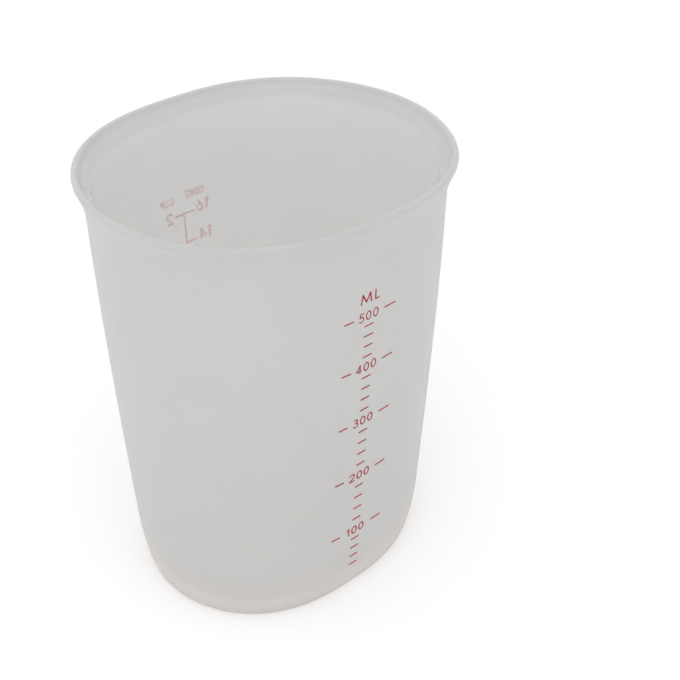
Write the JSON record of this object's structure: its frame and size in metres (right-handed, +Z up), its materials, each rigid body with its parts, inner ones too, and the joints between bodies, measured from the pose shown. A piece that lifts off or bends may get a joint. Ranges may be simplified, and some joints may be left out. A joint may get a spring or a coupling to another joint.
{
  "type": "measuring cup",
  "caption": "Soft translucent measuring cup: a thin oval silicone moulding with a flared rim that squeezes into a spout, with printed millilitre, ounce and cup scales.",
  "frame": {"origin": "centre of the footprint, on the surface that the cup stands on", "axes": "+Z up out of the mouth, X along the long axis of the oval, -Y out of the side that carries the millilitre scale"},
  "size_m": [0.1116, 0.1022, 0.15],
  "materials": {
    "silicone": "milky translucent silicone with a soft satin sheen",
    "ink": "matte dark red screen print"
  },
  "bodies": {
    "root": {"cup_body": "silicone", "ml_mark_020": "ink", "ml_mark_040": "ink", "ml_mark_060": "ink", "ml_mark_080": "ink", "ml_mark_100_left": "ink", "ml_mark_100_right": "ink", "ml_mark_120": "ink", "ml_mark_140": "ink", "ml_mark_160": "ink", "ml_mark_180": "ink", "ml_mark_200_left": "ink", "ml_mark_200_right": "ink", "ml_mark_220": "ink", "ml_mark_240": "ink", "ml_mark_260": "ink", "ml_mark_280": "ink", "ml_mark_300_left": "ink", "ml_mark_300_right": "ink", "ml_mark_320": "ink", "ml_mark_340": "ink", "ml_mark_360": "ink", "ml_mark_380": "ink", "ml_mark_400_left": "ink", "ml_mark_400_right": "ink", "ml_mark_420": "ink", "ml_mark_440": "ink", "ml_mark_460": "ink", "ml_mark_480": "ink", "ml_mark_500_left": "ink", "ml_mark_500_right": "ink", "ounce_cup_ladder": "ink"}
  },
  "joints": []
}
